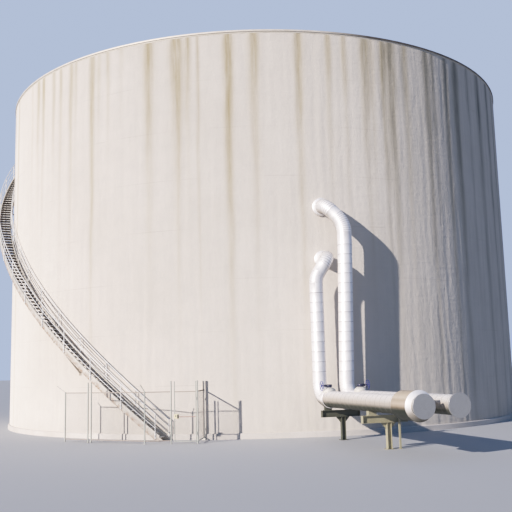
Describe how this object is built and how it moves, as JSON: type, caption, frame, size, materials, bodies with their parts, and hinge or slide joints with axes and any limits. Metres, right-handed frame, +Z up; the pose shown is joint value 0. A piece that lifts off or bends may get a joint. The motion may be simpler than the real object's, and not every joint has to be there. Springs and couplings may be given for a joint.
{
  "type": "thermal store tank",
  "caption": "Round concrete thermal store tank with a low domed roof, an outside stair winding up the wall, a gated fence at its foot and lagged pipes on steel supports.",
  "frame": {"origin": "centre of the underside of the floor slab", "axes": "+Z up, -Y towards the side with the pipes and the stair foot, +X to the right when facing that side"},
  "size_m": [30.9413, 39.5115, 21.1],
  "materials": {
    "drum_paint": "smooth tan sheet",
    "fence_metal": "dull grey galvanised steel",
    "concrete": "board-marked grey concrete, weathered",
    "wheel_paint": "blue gloss paint",
    "cladding": "ribbed bright sheet cladding",
    "valve_metal": "pale grey paint",
    "railing": "dull galvanised steel",
    "roofing": "smooth pale grey roof concrete",
    "support_paint": "tan-grey paint, weathered",
    "stair_paint": "off-white paint with rust on the lower edges"
  },
  "bodies": {
    "tank": {"drum_cover": "drum_paint", "fence_panel_1": "fence_metal", "fence_panel_2": "fence_metal", "fence_panel_3": "fence_metal", "floor_slab": "concrete", "front_run": "cladding", "front_valve": "valve_metal", "inner_railing_1": "railing", "inner_railing_2": "railing", "inner_railing_3": "railing", "inner_railing_4": "railing", "lower_wall_pipe": "cladding", "outer_railing_1": "railing", "outer_railing_2": "railing", "outer_railing_3": "railing", "outer_railing_4": "railing", "rear_run": "cladding", "rear_valve": "valve_metal", "return_panel": "fence_metal", "roof_dome": "roofing", "roof_rim": "roofing", "run_support_1": "support_paint", "run_support_2": "support_paint", "short_foot_bend": "cladding", "short_riser": "cladding", "stair_flight_1": "stair_paint", "stair_flight_2": "stair_paint", "stair_flight_3": "stair_paint", "stair_flight_4": "stair_paint", "stair_flight_5": "stair_paint", "stair_flight_6": "stair_paint", "stair_flight_7": "stair_paint", "stair_flight_8": "stair_paint", "tall_foot_bend": "cladding", "tall_riser": "cladding", "top_landing": "stair_paint", "upper_wall_pipe": "cladding", "wall_segment_1": "concrete", "wall_segment_2": "concrete", "wall_segment_3": "concrete", "wall_segment_4": "concrete", "wall_segment_5": "concrete", "wall_segment_6": "concrete"},
    "gate": {"gate_leaf": "fence_metal"},
    "front_wheel": {"front_handwheel": "wheel_paint"},
    "rear_wheel": {"rear_handwheel": "wheel_paint"}
  },
  "joints": [
    {"name": "gate_hinge", "type": "hinge", "parent": "tank", "child": "gate", "pos_m": [-2.69975, -16.60993, 1.1], "axis": [0, 0, 1], "range_deg": [0, 100]},
    {"name": "front_wheel_turn", "type": "hinge", "parent": "tank", "child": "front_wheel", "pos_m": [2.46998, -16.88665, 2.2253], "axis": [-0.9558, -0.294, 0], "continuous": true},
    {"name": "rear_wheel_turn", "type": "hinge", "parent": "tank", "child": "rear_wheel", "pos_m": [4.36763, -16.80143, 2.2253], "axis": [0.9558, 0.294, 0], "continuous": true}
  ]
}
